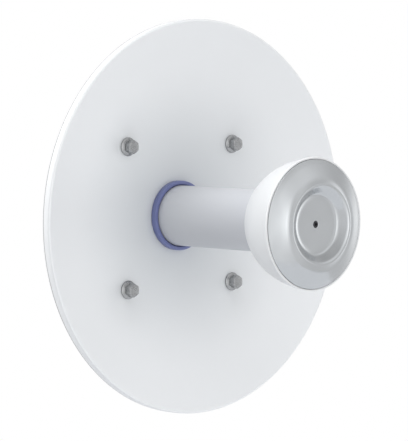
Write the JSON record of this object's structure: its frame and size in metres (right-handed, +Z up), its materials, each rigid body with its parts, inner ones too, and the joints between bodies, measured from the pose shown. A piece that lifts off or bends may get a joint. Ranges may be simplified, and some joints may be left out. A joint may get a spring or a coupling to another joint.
{
  "type": "dish antenna",
  "caption": "Small radio dish antenna with a shallow round reflector, a feed tube on its axis, a bowl-shaped sub-reflector and a tilting bracket that clamps round a pole.",
  "frame": {"origin": "centre of the pole bracket's flat rear face, where the pole touches it", "axes": "the dish looks along -Y, the pole stands behind it at +Y, +Z is up"},
  "size_m": [0.42, 0.3976, 0.42],
  "materials": {
    "white_paint": "satin white powder coat",
    "white_plastic": "smooth satin",
    "pale_plastic": "smooth satin",
    "blue_plastic": "satin blue",
    "plate_metal": "satin pressed sheet",
    "zinc_steel": "zinc plated",
    "dark_steel": "blackened",
    "galvanised": "galvanised",
    "grey_plastic": "fine texture",
    "black_plastic": "satin",
    "black_rubber": "matt"
  },
  "bodies": {
    "root": {"dish_reflector": "white_paint", "feed_ring": "blue_plastic", "feed_tube": "pale_plastic", "cup_housing": "white_plastic", "subreflector_plate": "plate_metal", "plate_screw": "dark_steel", "dish_bolt_1": "zinc_steel", "dish_bolt_2": "zinc_steel", "dish_bolt_3": "zinc_steel", "dish_bolt_4": "zinc_steel", "dish_spacer_1": "zinc_steel", "dish_spacer_2": "zinc_steel", "dish_spacer_3": "zinc_steel", "dish_spacer_4": "zinc_steel", "dish_nut_1": "zinc_steel", "dish_nut_2": "zinc_steel", "dish_nut_3": "zinc_steel", "dish_nut_4": "zinc_steel", "back_plate": "galvanised", "tail_housing": "grey_plastic", "tail_cover": "grey_plastic", "gland_body": "black_plastic", "gland_nut": "black_plastic", "gland_seal": "black_rubber", "ground_screw": "zinc_steel", "tilt_yoke": "galvanised", "yoke_bolt_1": "zinc_steel", "yoke_bolt_2": "zinc_steel", "yoke_bolt_3": "zinc_steel", "yoke_bolt_4": "zinc_steel", "pole_bracket": "galvanised", "pivot_bolt_left": "zinc_steel", "pivot_bolt_right": "zinc_steel", "pivot_nut_left": "zinc_steel", "pivot_nut_right": "zinc_steel", "lock_bolt_left": "zinc_steel", "lock_bolt_right": "zinc_steel", "lock_nut_left": "zinc_steel", "lock_nut_right": "zinc_steel", "u_bolt_upper": "zinc_steel", "u_bolt_lower": "zinc_steel", "u_bolt_nut_upper_left": "zinc_steel", "u_bolt_nut_upper_right": "zinc_steel", "u_bolt_nut_lower_left": "zinc_steel", "u_bolt_nut_lower_right": "zinc_steel"}
  },
  "joints": []
}
